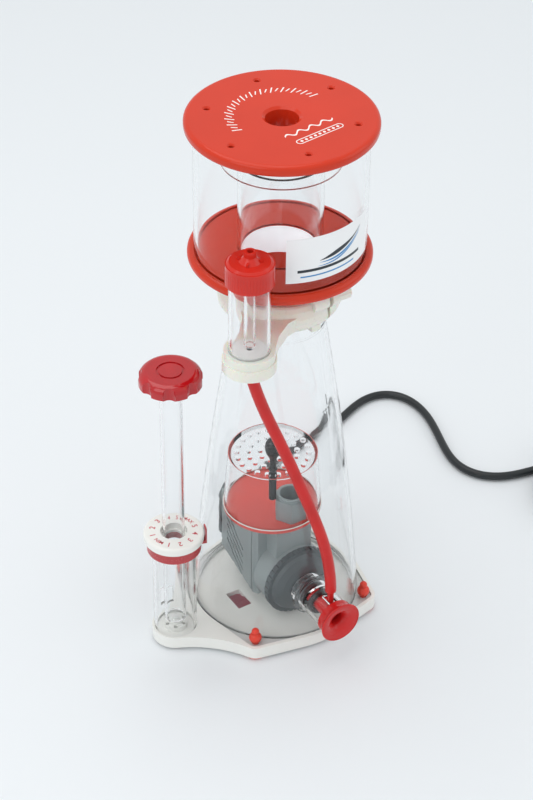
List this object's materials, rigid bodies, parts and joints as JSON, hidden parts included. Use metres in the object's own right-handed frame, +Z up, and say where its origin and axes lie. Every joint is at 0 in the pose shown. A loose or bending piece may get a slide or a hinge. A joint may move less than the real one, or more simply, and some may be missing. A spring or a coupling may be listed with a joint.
{
  "type": "protein skimmer",
  "caption": "Upright clear acrylic protein skimmer with a conical bell, screened collection cup, internal needle-wheel pump, side outlet valve, air silencer and mains lead.",
  "frame": {"origin": "on the floor plane under the axis of the bell and cup", "axes": "+Z up along the bell's axis, -Y the side the water intake points to, -X the side the outlet pipe stands on"},
  "size_m": [0.4707, 0.2683, 0.443],
  "materials": {
    "silicone_feet": "soft satin",
    "white_acrylic": "gloss",
    "red_acrylic": "gloss",
    "deep_red": "gloss",
    "deck_red": "gloss",
    "clear_acrylic": "clear gloss acrylic",
    "clamp_plastic": "translucent satin",
    "clear_rubber": "soft",
    "black_rubber": "satin",
    "red_silicone": "soft gloss",
    "pump_grey": "fine satin",
    "pump_dark": "fine satin",
    "gland_black": "satin",
    "lead_rubber": "satin",
    "steel": "bright",
    "ceramic": "polished ceramic",
    "copper": "enamelled copper wire",
    "magnet": "sealed magnet",
    "plug_brass": "bright"
  },
  "bodies": {
    "skimmer_body": {"foot_pads": "silicone_feet", "base_tray": "white_acrylic", "duct_cover": "red_acrylic", "base_seal": "clear_rubber", "cone_flange": "clear_acrylic", "cone_shell": "clear_acrylic", "intake_tube": "clear_acrylic", "intake_oring": "black_rubber", "intake_nozzle": "red_acrylic", "volute_housing": "pump_grey", "volute_cover": "pump_dark", "volute_oring": "black_rubber", "motor_housing": "pump_grey", "motor_back": "pump_dark", "stator_core": "steel", "stator_coils": "copper", "shaft_bushes": "white_acrylic", "pump_lead": "lead_rubber", "cable_gland": "gland_black", "gland_nut": "gland_black", "strain_relief": "lead_rubber", "pump_deck": "deck_red", "bubble_cover": "clear_acrylic", "plate_plug": "black_rubber", "outlet_tube": "clear_acrylic", "outlet_seat": "white_acrylic", "pointer_ring": "deep_red", "clamp_collar": "clamp_plastic", "clamp_nut": "steel", "silencer_tube": "clear_acrylic", "silencer_floor": "clear_acrylic", "hose_barb": "clear_acrylic", "air_hose": "red_silicone", "cord_run": "lead_rubber", "cord_coil": "lead_rubber", "cord_tail": "lead_rubber", "plug_body": "lead_rubber", "plug_pins": "plug_brass"},
    "collection_cup": {"cup_floor": "red_acrylic", "cup_wall": "clear_acrylic", "cup_riser": "clear_acrylic", "cup_socket": "red_acrylic", "cup_oring": "black_rubber"},
    "cup_lid": {"lid": "red_acrylic", "lid_skirt": "clear_acrylic"},
    "silencer_top": {"silencer_cap": "red_acrylic", "silencer_inner_tube": "clear_acrylic"},
    "clamp_screw": {"clamp_knob": "clamp_plastic", "clamp_stud": "steel"},
    "outlet_valve": {"dial_ring": "white_acrylic", "valve_tube": "clear_acrylic", "valve_knob": "deep_red"},
    "pump_rotor": {"rotor_magnet": "magnet", "impeller": "white_acrylic", "impeller_shaft": "ceramic"},
    "peg_front_left_pin": {"peg_front_left": "red_silicone"},
    "peg_front_right_pin": {"peg_front_right": "red_silicone"},
    "peg_rear_left_pin": {"peg_rear_left": "red_silicone"},
    "peg_rear_right_pin": {"peg_rear_right": "red_silicone"}
  },
  "joints": [
    {"name": "cup_lift", "type": "slide", "parent": "skimmer_body", "child": "collection_cup", "axis": [0, 0, 1], "range_m": [0, 0.06]},
    {"name": "lid_lift", "type": "slide", "parent": "collection_cup", "child": "cup_lid", "axis": [0, 0, 1], "range_m": [0, 0.04]},
    {"name": "silencer_cap_turn", "type": "hinge", "parent": "skimmer_body", "child": "silencer_top", "pos_m": [-0.0628, -0.0585, 0.37], "axis": [0, 0, 1], "range_deg": [0, 270]},
    {"name": "clamp_screw_turn", "type": "hinge", "parent": "skimmer_body", "child": "clamp_screw", "pos_m": [0.0216, -0.0385, 0.308], "axis": [1, 0, 0], "continuous": true},
    {"name": "valve_turn", "type": "hinge", "parent": "skimmer_body", "child": "outlet_valve", "pos_m": [-0.0934, 0, 0.1], "axis": [0, 0, 1], "range_deg": [-45, 135]},
    {"name": "impeller_spin", "type": "hinge", "parent": "skimmer_body", "child": "pump_rotor", "pos_m": [0, 0, 0.04], "axis": [0, -1, 0], "continuous": true},
    {"name": "peg_front_left_pull", "type": "slide", "parent": "skimmer_body", "child": "peg_front_left_pin", "axis": [0, 0, 1], "range_m": [0, 0.02]},
    {"name": "peg_front_right_pull", "type": "slide", "parent": "skimmer_body", "child": "peg_front_right_pin", "axis": [0, 0, 1], "range_m": [0, 0.02]},
    {"name": "peg_rear_left_pull", "type": "slide", "parent": "skimmer_body", "child": "peg_rear_left_pin", "axis": [0, 0, 1], "range_m": [0, 0.02]},
    {"name": "peg_rear_right_pull", "type": "slide", "parent": "skimmer_body", "child": "peg_rear_right_pin", "axis": [0, 0, 1], "range_m": [0, 0.02]}
  ]
}
